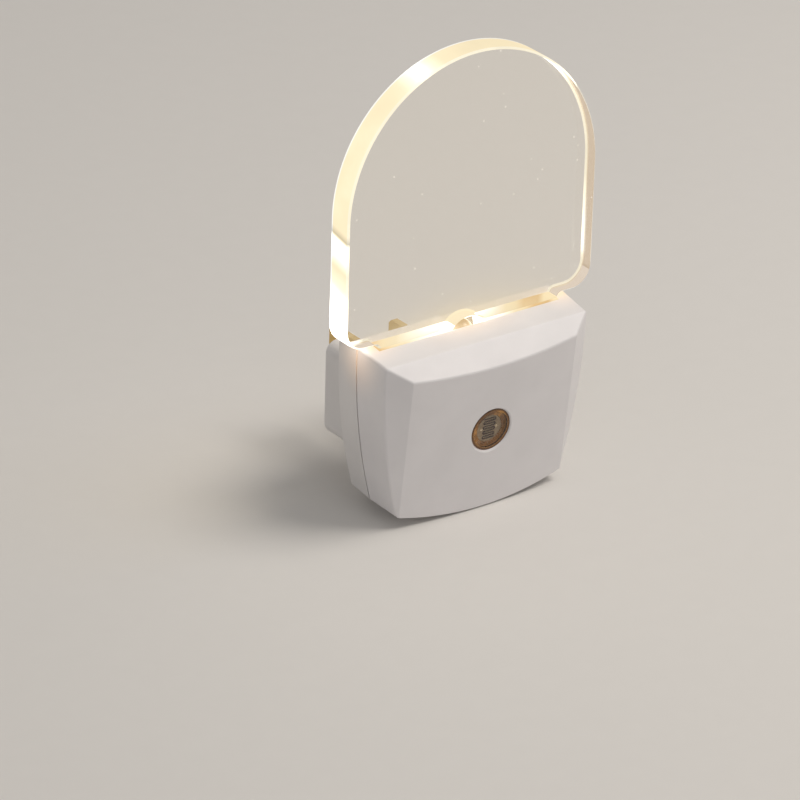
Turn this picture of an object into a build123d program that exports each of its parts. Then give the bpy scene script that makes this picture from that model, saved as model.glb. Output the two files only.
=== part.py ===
"""Plug-in night light: a clear arched panel that stands in a two-part housing on an outlet.

Millimetres. The origin lies midway between the blades, on the face that meets the outlet.
+X is to the right as seen from the room, +Y goes into the wall and +Z is up.
"""
from build123d import *
from math import cos, radians, sin, sqrt, tan
import os

os.makedirs("parts", exist_ok=True)

# ---- driving dimensions ----

# housing, from the outlet towards the room
block_depth = 10.2         # the plug block, from the outlet to the back of the housing
rear_depth = 6.8           # from there to the parting line
cover_depth = 8.7          # from the parting line to the shoulder
slope_depth = 3.0          # from the shoulder to the face's upper corners
shoulder_tilt = 1.8        # degrees that the shoulder leans back towards its foot
face_tilt = 6.6            # degrees that the face leans back towards its foot
face_crown = 1.2           # how far the face bulges between its sides

# housing, seen from the front, at the parting line
housing_top, housing_half = 17.3, 24.6
housing_foot, foot_half = -16.8, 20.6
side_bulge = 1.25          # how far a side swells beyond a straight line
foot_sag = 2.2             # how far the foot dips between its corners

# what the other outlines lose or gain on that one
rear_drop, rear_pinch = 0.7, 0.3
rear_rise, rear_foot_pinch = 0.6, 0.1
shoulder_drop, shoulder_pinch = 1.3, 0.4
shoulder_fall, shoulder_foot_pinch = 0.6, 0.6
slope_drop = 3.0           # from the shoulder down to the face's top
face_half = 19.7
face_fall = 0.1            # from the shoulder's foot down to the face's

edge_radius = 0.6
wall = 1.8
face_wall = 1.4
face_inset = 1.1           # how far the inside of the face stops short of its outline
lip_height = 1.5
lip_thickness = 0.8
seam_width, seam_depth = 0.35, 0.4   # the groove behind the parting line

# plug block
block_half = 20.1
block_foot, block_top = -9.5, 10.5
block_radius = 2.5
block_side_wall = 1.6
block_foot_wall, block_top_wall = 1.4, 3.5
block_room_radius = 1.5

# blades
blade_spacing = 12.7
blade_thickness = 1.5
blade_length = 17.0
line_width = 6.35
neutral_width = 7.94
blade_hole = 3.2
blade_hole_y = 11.9
blade_tip_chamfer = 1.2
blade_bevel = 0.4
blade_shoulder = 1.5       # how far the shoulder stands out above and below the blade
blade_shoulder_length = 1.6
tail_width = 2.6
tail_end = 1.0             # how far the tail stands out in front of the board

# acrylic panel
panel_thickness = 5.8
panel_half = 29.6
panel_lift = 0.8           # its shoulders' height above the housing
arch_centre_lift = 27.3    # the centre of its arch above the housing
panel_corner = 4.5
tongue_half = 21.5
tongue_depth = 8.3         # how far the tongue goes down below the housing's top
tongue_fillet = 1.2
tongue_corner = 1.0
notch_half = 5.0
notch_lift = 1.2           # the top of the lamp's notch above the housing
panel_chamfer = 0.4

# sensor
sensor_z = -2.4
window_diameter = 9.0
window_recess = 0.25
hole_bevel = 0.35          # round the hole that the window stands in
window_face = 1.0
window_skirt_depth = 4.2
window_skirt_wall = 0.5
window_flange = 1.2        # how far its flange stands out all round
window_flange_thickness = 0.8
collar_wall = 1.0
collar_height = 1.6
cell_diameter = 5.8
cell_thickness = 2.0
cell_setback = 0.2         # behind the window's inner face
cell_stop = 0.25           # the sleeve's step that the cell rests on
cell_lead_spacing = 3.6
sleeve_depth = 5.4
track_width = 0.28
track_pitch = 0.55
track_rows = 9
track_height = 0.08

# lamp
lamp_diameter = 5.0
lamp_flange = 0.4          # how far its flange stands out all round
lamp_flange_height = 1.0
lamp_height = 8.0
lamp_lead_spacing = 2.54
lamp_lead_drop = 1.4       # from the board's top edge down to its leads
lamp_lead_bend = 1.0
holder_half = 3.2
holder_under = 0.6         # what the holder has below the leads

# board and its components; a place is X and Z, and a board place counts from its top edge
board_rest = 0.9           # how far the board overlaps the housing's back on each side
board_rest_foot, board_rest_top = 1.5, 0.4
board_thickness = 1.6
board_corner = 1.0
lead_diameter = 0.6
lead_bend = 0.9
lead_end = 1.3             # how far a lead stands out behind the board
solder_height = 0.8
solder_spread = 0.35       # how far solder spreads from the lead on the board
solder_taper = 14.0
component_drop = 0.4       # from the board's top edge to the components below it
component_edge = 0.4
film_length, film_height, film_width = 12.0, 9.0, 5.0
film_x = -9.8
film_pitch = 10.0
can_diameter, can_length = 6.3, 9.0
can_groove, can_groove_height = 0.3, 1.6
can_x = 12.0
can_pitch = 2.5
diode_diameter, diode_length = 2.6, 5.2
diode_pitch = 9.0
diode_x = 11.1
diode_rows = (-3.9, -6.7)
zener_diameter, zener_length = 1.9, 4.0
zener_pitch = 7.4
zener_place = (0.0, -7.0)
resistor_diameter, resistor_length = 2.3, 6.0
resistor_waist = 1.9
resistor_bulb = 1.5
resistor_pitch = 9.0
resistor_x, resistor_z = 17.2, -0.5
low_resistor_place = (0.0, -4.1)
transistor_width, transistor_height, transistor_flat = 4.4, 4.6, 1.3
transistor_x = 6.1
transistor_pitch = 1.5
transistor_lead = 0.5
transistor_stand = 1.4

# fastening
screw_diameter = 2.2
screw_length = 9.0
screw_head_diameter = 3.8
screw_head_height = 1.4
screw_head_depth = 0.1     # how far the head lies below the back
screw_slot_width, screw_slot_depth = 0.6, 0.7
upper_screw_x, upper_screw_drop = 15.5, 4.3      # from the middle, and below the top
lower_screw_x, lower_screw_rise = 14.5, 4.2      # from the middle, and above the foot
front_boss_diameter = 4.2
rear_boss_diameter = 5.0
pilot_depth = 8.0
post_diameter = 2.4
post_inset = 1.5           # from the board's edges to the middle of a post
shelf_inner, shelf_outer = 7.0, 12.5
shelf_thickness = 1.4
shelf_setback = 0.9
carrier_end_gap = 3.5      # from the block's inside to the carrier's ends
carrier_thickness = 2.0
carrier_post_diameter = 1.8
carrier_post_x = 9.0
carrier_post_inset = 1.0   # from the carrier's edge to the middle of a post

# clearances
slide_fit = 0.15           # round a piece that slides into another
loose_fit = 0.1            # round a pin in its hole, or before a piece's stop

# ---- places worked out from them ----

rear_y = -block_depth
parting_y = rear_y - rear_depth
shoulder_y = parting_y - cover_depth
face_y = shoulder_y - slope_depth
shoulder_top = housing_top - shoulder_drop
shoulder_foot = housing_foot - shoulder_fall
face_top = shoulder_top - slope_drop
face_foot = shoulder_foot - face_fall

panel_y = parting_y
panel_front_y = panel_y - panel_thickness / 2
panel_back_y = panel_y + panel_thickness / 2
panel_foot = housing_top + panel_lift
arch_centre_z = housing_top + arch_centre_lift
tongue_foot = housing_top - tongue_depth
notch_top = housing_top + notch_lift

board_back_y = rear_y - wall
board_front_y = board_back_y - board_thickness
room_half = block_half - block_side_wall
room_foot = block_foot + block_foot_wall
room_top = block_top - block_top_wall
board_half = room_half + board_rest
board_foot = room_foot - board_rest_foot
board_top = room_top + board_rest_top
lamp_lead_z = board_top - lamp_lead_drop
film_z = board_top - component_drop - film_width / 2
can_z = board_top - component_drop - can_diameter / 2
transistor_z = can_z
post_x = board_half - post_inset


def leaning_plane(y, z, tilt):
    """A plane that faces the room at (0, y, z), leaning back by tilt degrees towards its foot."""
    lean = radians(tilt)
    return Plane(origin=(0, y, z), x_dir=(1, 0, 0), z_dir=(0, -cos(lean), -sin(lean)))


def facing_plane(y):
    """An upright plane at y that faces the room, with its origin level with the blades."""
    return Plane.XZ.offset(-y)


def both_sides(x, z):
    """A place and its mirror image, left and right."""
    return [(-x, z), (x, z)]


rear_plane = facing_plane(rear_y)
parting_plane = facing_plane(parting_y)
seat_plane = facing_plane(panel_back_y)
board_back_plane = facing_plane(board_back_y)
board_plane = facing_plane(board_front_y)
slot_plane = Plane.XY.offset(tongue_foot)
shoulder_plane = leaning_plane(shoulder_y, shoulder_top, shoulder_tilt)
face_plane = leaning_plane(face_y, face_top, face_tilt)
inner_shoulder_plane = shoulder_plane.offset(-face_wall)
inner_face_plane = face_plane.offset(-face_wall)

upper_screws = both_sides(upper_screw_x, housing_top - upper_screw_drop)
lower_screws = both_sides(lower_screw_x, housing_foot + lower_screw_rise)
screw_places = upper_screws + lower_screws
post_places = both_sides(post_x, board_top - post_inset) + both_sides(post_x, board_foot + post_inset)


def housing_section(plane, top, top_half, foot, low_half, inset):
    """The housing's outline on a plane: flat top, swelling sides and a foot that dips."""
    high = (top - plane.origin.Z) / plane.y_dir.Z
    low = (foot - plane.origin.Z) / plane.y_dir.Z
    side_middle = (top_half + low_half) / 2 + side_bulge
    with BuildSketch(plane) as section:
        with BuildLine():
            Line((-top_half, high), (top_half, high))
            ThreePointArc((top_half, high), (side_middle, (high + low) / 2), (low_half, low))
            ThreePointArc((low_half, low), (0, low - foot_sag), (-low_half, low))
            ThreePointArc((-low_half, low), (-side_middle, (high + low) / 2), (-top_half, high))
        make_face()
        if inset > 0:
            offset(amount=-inset, kind=Kind.INTERSECTION)
    return section.sketch.face()


def rear_section(plane, inset=0.0):
    return housing_section(plane, housing_top - rear_drop, housing_half - rear_pinch,
                           housing_foot + rear_rise, foot_half - rear_foot_pinch, inset)


def parting_section(plane, inset=0.0):
    return housing_section(plane, housing_top, housing_half, housing_foot, foot_half, inset)


def shoulder_section(plane, inset=0.0):
    return housing_section(plane, shoulder_top, housing_half - shoulder_pinch,
                           shoulder_foot, foot_half - shoulder_foot_pinch, inset)


def face_section(plane, inset=0.0):
    """The face's outline: straight sides and a foot that dips like the housing's."""
    low = (face_foot - face_top) / face_plane.y_dir.Z
    with BuildSketch(plane) as section:
        with BuildLine():
            Line((-face_half, 0), (face_half, 0))
            Line((face_half, 0), (face_half, low))
            ThreePointArc((face_half, low), (0, low - foot_sag), (-face_half, low))
            Line((-face_half, low), (-face_half, 0))
        make_face()
        if inset > 0:
            offset(amount=-inset, kind=Kind.INTERSECTION)
    return section.sketch.face()


def panel_slot():
    """The outline of the panel's slot in the housing's top, with room to slide in."""
    with BuildSketch(slot_plane) as slot:
        with Locations((0, panel_y)):
            Rectangle(2 * (tongue_half + slide_fit), panel_thickness + 2 * slide_fit)
    return slot.sketch.face()


# ---- front cover ----

crown_radius = (face_half ** 2 + face_crown ** 2) / (2 * face_crown)
crown_plane = Plane(origin=face_plane.origin, x_dir=(1, 0, 0), z_dir=face_plane.y_dir)
slope_plane = Plane(origin=face_plane.origin, x_dir=(1, 0, 0), z_dir=(0, -slope_drop, slope_depth))

with BuildPart() as crown:
    extrude(face_section(face_plane), amount=2 * face_crown)
    with BuildSketch(crown_plane):
        with Locations((0, crown_radius - face_crown)):
            Circle(crown_radius)
    extrude(amount=2 * (face_top - face_foot), both=True, mode=Mode.INTERSECT)
    split(bisect_by=slope_plane, keep=Keep.BOTTOM)

with BuildPart() as front_form:
    loft(sections=[parting_section(parting_plane), shoulder_section(shoulder_plane)], ruled=True)
    loft(sections=[shoulder_section(shoulder_plane), face_section(face_plane)], ruled=True)
    add(crown.part)
    # every outer edge is rounded but the long ones of the foot, which nobody sees or holds
    foot_line = face_foot - foot_sag / 2
    rounded = front_form.edges().filter_by(lambda edge: edge.center().Z > foot_line)
    rounded = rounded.filter_by(lambda edge: edge.center().Y < parting_y - edge_radius)
    fillet(rounded.filter_by(lambda edge: edge.length > 2 * edge_radius), radius=edge_radius)

with BuildPart() as front_room:
    loft(sections=[parting_section(parting_plane, wall),
                   shoulder_section(inner_shoulder_plane, wall)], ruled=True)
    loft(sections=[shoulder_section(inner_shoulder_plane, wall),
                   face_section(inner_face_plane, face_inset)], ruled=True)

# the sensor looks straight out of the leaning face
sensor_drop = (sensor_z - face_top) / face_plane.y_dir.Z
sensor_plane = Plane(origin=face_plane.from_local_coords((0, sensor_drop, face_crown)),
                     x_dir=(1, 0, 0), z_dir=face_plane.z_dir)
inner_face_depth = face_crown + face_wall
flange_radius = window_diameter / 2 + window_flange

# the screws' bosses and the posts that hold the board down, up to the inside of the front
with BuildPart() as front_pillars:
    with BuildSketch(parting_plane):
        with Locations(*screw_places):
            Circle(front_boss_diameter / 2)
        with Locations(*post_places):
            Circle(post_diameter / 2)
    extrude(amount=parting_y - face_y)
    add(front_form.part, mode=Mode.INTERSECT)

with BuildPart() as front_cover:
    add(front_form.part)
    add(front_room.part, mode=Mode.SUBTRACT)
    # rebate that takes the rear housing's lip
    extrude(parting_section(parting_plane, wall - lip_thickness - loose_fit),
            amount=lip_height + loose_fit, mode=Mode.SUBTRACT)
    extrude(panel_slot(), amount=panel_foot - tongue_foot, mode=Mode.SUBTRACT)
    add(front_pillars.part)
    with BuildSketch(seat_plane.offset(loose_fit)):
        with Locations(*screw_places):
            Circle(front_boss_diameter / 2)
    extrude(amount=panel_back_y - parting_y)
    with BuildSketch(board_plane.offset(loose_fit)):
        with Locations(*post_places):
            Circle(post_diameter / 2)
    extrude(amount=board_front_y - parting_y)
    with BuildSketch(seat_plane.offset(loose_fit)):
        with Locations(*screw_places):
            Circle(screw_diameter / 2)
    extrude(amount=pilot_depth, mode=Mode.SUBTRACT)
    # collar round the window's flange, then the window's hole
    with BuildSketch(sensor_plane.offset(-inner_face_depth)):
        Circle(flange_radius + loose_fit + collar_wall)
        Circle(flange_radius + loose_fit, mode=Mode.SUBTRACT)
    extrude(amount=-collar_height)
    with BuildSketch(sensor_plane.offset(face_crown)):
        Circle(window_diameter / 2 + loose_fit)
    extrude(amount=-2 * inner_face_depth, mode=Mode.SUBTRACT)
    with BuildSketch(sensor_plane):
        Circle(window_diameter / 2 + loose_fit + hole_bevel)
    extrude(amount=-hole_bevel, taper=45, mode=Mode.SUBTRACT)
front_cover.part.label = "front_cover"
export_step(front_cover.part, "parts/front_cover.step")

# ---- rear housing ----

with BuildPart() as rear_form:
    loft(sections=[rear_section(rear_plane), parting_section(parting_plane)], ruled=True)
    rounded = rear_form.edges().filter_by(lambda edge: edge.center().Y > parting_y + edge_radius)
    fillet(rounded, radius=edge_radius)
    with BuildSketch(Plane.XZ):
        with Locations((0, (block_foot + block_top) / 2)):
            RectangleRounded(2 * block_half, block_top - block_foot, block_radius)
    extrude(amount=block_depth + wall / 2)
    fillet(rear_form.faces().sort_by(Axis.Y)[-1].edges(), radius=edge_radius)

with BuildPart() as rear_housing:
    add(rear_form.part)
    # groove behind the parting line
    extrude(parting_section(parting_plane), amount=-seam_width, mode=Mode.SUBTRACT)
    extrude(parting_section(parting_plane, seam_depth), amount=-seam_width)
    loft(sections=[rear_section(board_back_plane, wall), parting_section(parting_plane, wall)],
         ruled=True, mode=Mode.SUBTRACT)
    with BuildSketch(facing_plane(-wall)):
        with Locations((0, (room_foot + room_top) / 2)):
            RectangleRounded(2 * room_half, room_top - room_foot, block_room_radius)
    extrude(amount=block_depth, mode=Mode.SUBTRACT)
    # lip that goes into the front cover
    extrude(parting_section(parting_plane, wall - lip_thickness), amount=lip_height)
    extrude(parting_section(parting_plane, wall), amount=lip_height, mode=Mode.SUBTRACT)
    extrude(panel_slot(), amount=panel_foot - tongue_foot, mode=Mode.SUBTRACT)
    # shelves that the panel's tongue stands on
    with BuildSketch(board_back_plane):
        with Locations(*both_sides((shelf_inner + shelf_outer) / 2, tongue_foot - shelf_thickness / 2)):
            Rectangle(shelf_outer - shelf_inner, shelf_thickness)
    extrude(amount=board_back_y - panel_front_y - shelf_setback)
    with BuildSketch(rear_plane):
        with Locations(*screw_places):
            Circle(rear_boss_diameter / 2)
    extrude(amount=rear_y - panel_back_y)
    with BuildSketch(rear_plane):
        with Locations(*screw_places):
            Circle(screw_head_diameter / 2 + loose_fit)
    extrude(amount=screw_head_height + screw_head_depth, mode=Mode.SUBTRACT)
    with BuildSketch(rear_plane):
        with Locations(*screw_places):
            Circle(screw_diameter / 2 + slide_fit)
    extrude(amount=rear_y - panel_back_y, mode=Mode.SUBTRACT)
    with BuildSketch(Plane.XZ):
        with Locations((blade_spacing / 2, 0)):
            Rectangle(blade_thickness + 2 * loose_fit, line_width + 2 * loose_fit)
        with Locations((-blade_spacing / 2, 0)):
            Rectangle(blade_thickness + 2 * loose_fit, neutral_width + 2 * loose_fit)
    extrude(amount=wall, mode=Mode.SUBTRACT)
rear_housing.part.label = "rear_housing"
export_step(rear_housing.part, "parts/rear_housing.step")

# ---- case screws ----

screw_head_y = rear_y - screw_head_depth
with BuildPart() as case_screws:
    with BuildSketch(facing_plane(screw_head_y)):
        with Locations(*screw_places):
            Circle(screw_head_diameter / 2)
    extrude(amount=screw_head_height)
    with BuildSketch(facing_plane(screw_head_y)):
        with Locations(*screw_places):
            Circle(screw_diameter / 2)
    extrude(amount=screw_head_height + screw_length)
    # crossed slots for a screwdriver
    with BuildSketch(facing_plane(screw_head_y)):
        with Locations(*screw_places):
            Rectangle(0.7 * screw_head_diameter, screw_slot_width)
            Rectangle(screw_slot_width, 0.7 * screw_head_diameter)
    extrude(amount=screw_slot_depth, mode=Mode.SUBTRACT)
case_screws.part.label = "case_screws"
export_step(case_screws.part, "parts/case_screws.step")

# ---- acrylic panel ----

with BuildPart() as light_panel:
    with BuildSketch(seat_plane):
        with BuildLine():
            FilletPolyline(
                (-panel_half, arch_centre_z), (-panel_half, panel_foot),
                (-tongue_half, panel_foot), (-tongue_half, tongue_foot),
                (tongue_half, tongue_foot), (tongue_half, panel_foot),
                (panel_half, panel_foot), (panel_half, arch_centre_z),
                radius=[panel_corner, tongue_fillet, tongue_corner,
                        tongue_corner, tongue_fillet, panel_corner])
            ThreePointArc((panel_half, arch_centre_z), (0, arch_centre_z + panel_half),
                          (-panel_half, arch_centre_z))
        make_face()
        # notch that the lamp's dome stands in
        notch_spring = notch_top - notch_half
        with BuildLine():
            Line((-notch_half, tongue_foot), (notch_half, tongue_foot))
            Line((notch_half, tongue_foot), (notch_half, notch_spring))
            ThreePointArc((notch_half, notch_spring), (0, notch_top), (-notch_half, notch_spring))
            Line((-notch_half, notch_spring), (-notch_half, tongue_foot))
        make_face(mode=Mode.SUBTRACT)
        with Locations(*upper_screws):
            Circle(front_boss_diameter / 2 + slide_fit, mode=Mode.SUBTRACT)
    extrude(amount=panel_thickness)
    for side in (0, -1):
        flat = light_panel.faces().filter_by(Axis.Y).sort_by(Axis.Y)[side]
        chamfer(flat.outer_wire().edges(), length=panel_chamfer)
light_panel.part.label = "light_panel"
export_step(light_panel.part, "parts/light_panel.step")

# ---- sensor ----

window_back = sensor_plane.offset(-window_recess - window_face)
cell_front = window_back.offset(-cell_setback)
skirt_bore = window_diameter / 2 - window_skirt_wall
cell_leads = [(-cell_lead_spacing / 2, 0), (cell_lead_spacing / 2, 0)]

with BuildPart() as sensor_window:
    with BuildSketch(sensor_plane.offset(-window_recess)):
        Circle(window_diameter / 2)
    extrude(amount=-window_skirt_depth)
    with BuildSketch(sensor_plane.offset(-inner_face_depth)):
        Circle(flange_radius)
    extrude(amount=-window_flange_thickness)
    with BuildSketch(window_back):
        Circle(skirt_bore)
    extrude(amount=-window_skirt_depth, mode=Mode.SUBTRACT)
sensor_window.part.label = "sensor_window"
export_step(sensor_window.part, "parts/sensor_window.step")

with BuildPart() as photocell_sleeve:
    with BuildSketch(window_back):
        Circle(skirt_bore - loose_fit)
    extrude(amount=-sleeve_depth)
    with BuildSketch(window_back):
        Circle(cell_diameter / 2 + loose_fit)
    extrude(amount=-cell_setback - cell_thickness, mode=Mode.SUBTRACT)
    with BuildSketch(window_back):
        Circle(cell_diameter / 2 - cell_stop)
    extrude(amount=-sleeve_depth, mode=Mode.SUBTRACT)
photocell_sleeve.part.label = "photocell_sleeve"
export_step(photocell_sleeve.part, "parts/photocell_sleeve.step")

with BuildPart() as photocell_body:
    with BuildSketch(cell_front):
        Circle(cell_diameter / 2)
        with Locations(*cell_leads):
            Circle(lead_diameter / 2, mode=Mode.SUBTRACT)
    extrude(amount=-cell_thickness)
photocell_body.part.label = "photocell_body"
export_step(photocell_body.part, "parts/photocell_body.step")

# the leads run straight back from the leaning cell, so they rise on their way to the board
cell_lead_rise = tan(radians(face_tilt))
cell_lead_length = (board_back_y + lead_end - cell_front.origin.Y) / cos(radians(face_tilt))
board_middle_y = (board_front_y + board_back_y) / 2
cell_lead_z = cell_front.origin.Z + (board_middle_y - cell_front.origin.Y) * cell_lead_rise

with BuildPart() as photocell_leads:
    with BuildSketch(cell_front):
        with Locations(*cell_leads):
            Circle(lead_diameter / 2)
    extrude(amount=-cell_lead_length)
photocell_leads.part.label = "photocell_leads"
export_step(photocell_leads.part, "parts/photocell_leads.step")

# the cell's track winds to and fro between its leads
track_reach = (cell_lead_spacing - lead_diameter) / 2 - track_width / 2
turns = []
for row in range(track_rows):
    row_height = track_pitch * ((track_rows - 1) / 2 - row)
    row_side = 1 if row % 2 else -1
    turns.append((row_side * track_reach, row_height))
    turns.append((-row_side * track_reach, row_height))

with BuildPart() as photocell_track:
    with BuildSketch(cell_front):
        with BuildLine():
            FilletPolyline(*turns, radius=0.45 * track_pitch)
        trace(line_width=track_width)
    extrude(amount=track_height)
photocell_track.part.label = "photocell_track"
export_step(photocell_track.part, "parts/photocell_track.step")

# ---- lamp ----

lamp_plane = leaning_plane(panel_y, tongue_foot, 0)
lamp_radius = lamp_diameter / 2
holder_foot = lamp_lead_z - holder_under
lead_groove = lead_diameter + 2 * slide_fit

with BuildPart() as led_lens:
    with BuildSketch(lamp_plane):
        with BuildLine():
            Polyline((0, 0), (lamp_radius + lamp_flange, 0),
                     (lamp_radius + lamp_flange, lamp_flange_height),
                     (lamp_radius, lamp_flange_height),
                     (lamp_radius, lamp_height - lamp_radius))
            RadiusArc((lamp_radius, lamp_height - lamp_radius), (0, lamp_height), -lamp_radius)
            Line((0, lamp_height), (0, 0))
        make_face()
    revolve(axis=Axis((0, panel_y, 0), (0, 0, 1)))
led_lens.part.label = "led_lens"
export_step(led_lens.part, "parts/led_lens.step")


def wire(points, bend):
    """A round lead bent along points."""
    with BuildPart() as lead:
        with BuildLine() as route:
            FilletPolyline(*points, radius=bend)
        with BuildSketch(Plane(origin=route.line @ 0, z_dir=route.line % 0)):
            Circle(lead_diameter / 2)
        sweep(path=route.line)
    return lead.part


with BuildPart() as led_leads:
    for x in (-lamp_lead_spacing / 2, lamp_lead_spacing / 2):
        add(wire([(x, panel_y, tongue_foot), (x, panel_y, lamp_lead_z),
                  (x, board_back_y + lead_end, lamp_lead_z)], lamp_lead_bend))
led_leads.part.label = "led_leads"
export_step(led_leads.part, "parts/led_leads.step")

with BuildPart() as led_holder:
    with BuildSketch(board_plane):
        with Locations((0, (holder_foot + tongue_foot) / 2)):
            Rectangle(2 * holder_half, tongue_foot - holder_foot)
    extrude(amount=board_front_y - panel_front_y)
    fillet(led_holder.edges().filter_by(Axis.Y).sort_by(Axis.Z)[:2], radius=component_edge)
    # grooves for the lamp's leads, open to the board
    with BuildSketch(Plane.XY.offset(tongue_foot)):
        with Locations((-lamp_lead_spacing / 2, board_front_y), (lamp_lead_spacing / 2, board_front_y)):
            Rectangle(lead_groove, board_front_y - panel_y + lead_groove / 2,
                      align=(Align.CENTER, Align.MAX))
    extrude(amount=holder_foot - tongue_foot, mode=Mode.SUBTRACT)
led_holder.part.label = "led_holder"
export_step(led_holder.part, "parts/led_holder.step")

# ---- components ----


def lead_places(place, pitch, upright=False):
    """Where a component's two leads enter the board."""
    x, z = place
    if upright:
        return [(x, z - pitch / 2), (x, z + pitch / 2)]
    return [(x - pitch / 2, z), (x + pitch / 2, z)]


def bent_leads(places, body_radius):
    """The wire that runs through an axial component and down into the board at both ends."""
    wire_y = board_front_y - body_radius
    ends = [(x, board_back_y + lead_end, z) for x, z in places]
    corners = [(x, wire_y, z) for x, z in places]
    return wire([ends[0], corners[0], corners[1], ends[1]], lead_bend)


def axial_body(place, diameter, length, upright=False):
    """The plane at the foot of an axial component's body, which lies on the board."""
    x, z = place
    y = board_front_y - diameter / 2
    if upright:
        return Plane(origin=(x, y, z - length / 2), z_dir=(0, 0, 1))
    return Plane(origin=(x - length / 2, y, z), z_dir=(1, 0, 0))


def diode(place, diameter, length, pitch):
    with BuildPart() as component:
        with BuildSketch(axial_body(place, diameter, length)):
            Circle(diameter / 2)
        extrude(amount=length)
        chamfer(component.edges().filter_by(GeomType.CIRCLE), length=0.15 * diameter)
        add(bent_leads(lead_places(place, pitch), diameter / 2))
    return component.part


def resistor(place, upright):
    foot = axial_body(place, resistor_diameter, resistor_length, upright)
    with BuildPart() as component:
        with BuildSketch(foot):
            Circle(resistor_waist / 2)
        extrude(amount=resistor_length)
        for start in (0, resistor_length - resistor_bulb):
            with BuildSketch(foot.offset(start)):
                Circle(resistor_diameter / 2)
            extrude(amount=resistor_bulb)
        add(bent_leads(lead_places(place, resistor_pitch, upright), resistor_diameter / 2))
    return component.part


diode_places = [(x, z) for z in diode_rows for x in (-diode_x, diode_x)]
resistor_places = [((-resistor_x, resistor_z), True), ((resistor_x, resistor_z), True),
                   (low_resistor_place, False)]

with BuildPart() as rectifier_diodes:
    for place in diode_places:
        add(diode(place, diode_diameter, diode_length, diode_pitch))
rectifier_diodes.part.label = "rectifier_diodes"
export_step(rectifier_diodes.part, "parts/rectifier_diodes.step")

with BuildPart() as zener_diode:
    add(diode(zener_place, zener_diameter, zener_length, zener_pitch))
zener_diode.part.label = "zener_diode"
export_step(zener_diode.part, "parts/zener_diode.step")

with BuildPart() as resistors:
    for place, upright in resistor_places:
        add(resistor(place, upright))
resistors.part.label = "resistors"
export_step(resistors.part, "parts/resistors.step")

film_leads = lead_places((film_x, film_z), film_pitch)
can_leads = lead_places((can_x, can_z), can_pitch)
transistor_leads = [(transistor_x + step * transistor_pitch, transistor_z) for step in (-1, 0, 1)]
lead_stop_plane = facing_plane(board_back_y + lead_end)

with BuildPart() as film_capacitor:
    with BuildSketch(board_plane):
        with Locations((film_x, film_z)):
            Rectangle(film_length, film_width)
    extrude(amount=film_height)
    front_edges = film_capacitor.faces().sort_by(Axis.Y)[0].edges()
    fillet(front_edges + film_capacitor.edges().filter_by(Axis.Y), radius=component_edge)
    with BuildSketch(lead_stop_plane):
        with Locations(*film_leads):
            Circle(lead_diameter / 2)
    extrude(amount=lead_end + board_thickness + component_edge)
film_capacitor.part.label = "film_capacitor"
export_step(film_capacitor.part, "parts/film_capacitor.step")

with BuildPart() as smoothing_capacitor:
    with BuildSketch(board_plane):
        with Locations((can_x, can_z)):
            Circle(can_diameter / 2)
    extrude(amount=can_length)
    fillet(smoothing_capacitor.faces().sort_by(Axis.Y)[0].edges(), radius=component_edge)
    with BuildSketch(board_plane.offset(can_groove_height)):
        with Locations((can_x, can_z)):
            Circle(can_diameter / 2)
            Circle(can_diameter / 2 - can_groove, mode=Mode.SUBTRACT)
    extrude(amount=2 * can_groove, mode=Mode.SUBTRACT)
    with BuildSketch(lead_stop_plane):
        with Locations(*can_leads):
            Circle(lead_diameter / 2)
    extrude(amount=lead_end + board_thickness + component_edge)
smoothing_capacitor.part.label = "smoothing_capacitor"
export_step(smoothing_capacitor.part, "parts/smoothing_capacitor.step")

with BuildPart() as transistor:
    with BuildSketch(board_plane.offset(transistor_stand)):
        with Locations((transistor_x, transistor_z)):
            Circle(transistor_width / 2)
            with Locations((0, -transistor_flat)):
                Rectangle(transistor_width, transistor_width, align=(Align.CENTER, Align.MAX),
                          mode=Mode.SUBTRACT)
    extrude(amount=transistor_height)
    with BuildSketch(lead_stop_plane):
        with Locations(*transistor_leads):
            Rectangle(transistor_lead, transistor_lead)
    extrude(amount=lead_end + board_thickness + transistor_stand + component_edge)
transistor.part.label = "transistor"
export_step(transistor.part, "parts/transistor.step")

# ---- blades and their carrier ----

blade_seat_y = -wall - loose_fit
carrier_front_y = blade_seat_y - blade_shoulder_length
carrier_half = room_half - carrier_end_gap
carrier_top = room_top - 2 * loose_fit
carrier_post_z = carrier_top - carrier_post_inset
tail_places = both_sides(blade_spacing / 2, 0)


def blade(x, width):
    """A stamped blade, its shoulder behind the wall and its tail, which goes to the board."""
    tail_length = carrier_front_y - board_front_y + tail_end
    with BuildPart() as piece:
        with BuildSketch(Plane.YZ.offset(x - blade_thickness / 2)):
            with Locations((blade_length, 0)):
                prong = Rectangle(blade_length - blade_seat_y, width, align=(Align.MAX, Align.CENTER))
            chamfer(prong.vertices().sort_by(Axis.Y)[-2:], length=blade_tip_chamfer)
            with Locations((blade_seat_y, 0)):
                Rectangle(blade_shoulder_length, width + 2 * blade_shoulder,
                          align=(Align.MAX, Align.CENTER))
            with Locations((carrier_front_y, 0)):
                Rectangle(tail_length, tail_width, align=(Align.MAX, Align.CENTER))
            with Locations((blade_hole_y, 0)):
                Circle(blade_hole / 2, mode=Mode.SUBTRACT)
        extrude(amount=blade_thickness)
        chamfer(piece.faces().sort_by(Axis.Y)[-1].edges().filter_by(Axis.Z), length=blade_bevel)
    return piece.part


with BuildPart() as blade_line:
    add(blade(blade_spacing / 2, line_width))
blade_line.part.label = "blade_line"
export_step(blade_line.part, "parts/blade_line.step")

with BuildPart() as blade_neutral:
    add(blade(-blade_spacing / 2, neutral_width))
blade_neutral.part.label = "blade_neutral"
export_step(blade_neutral.part, "parts/blade_neutral.step")

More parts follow.
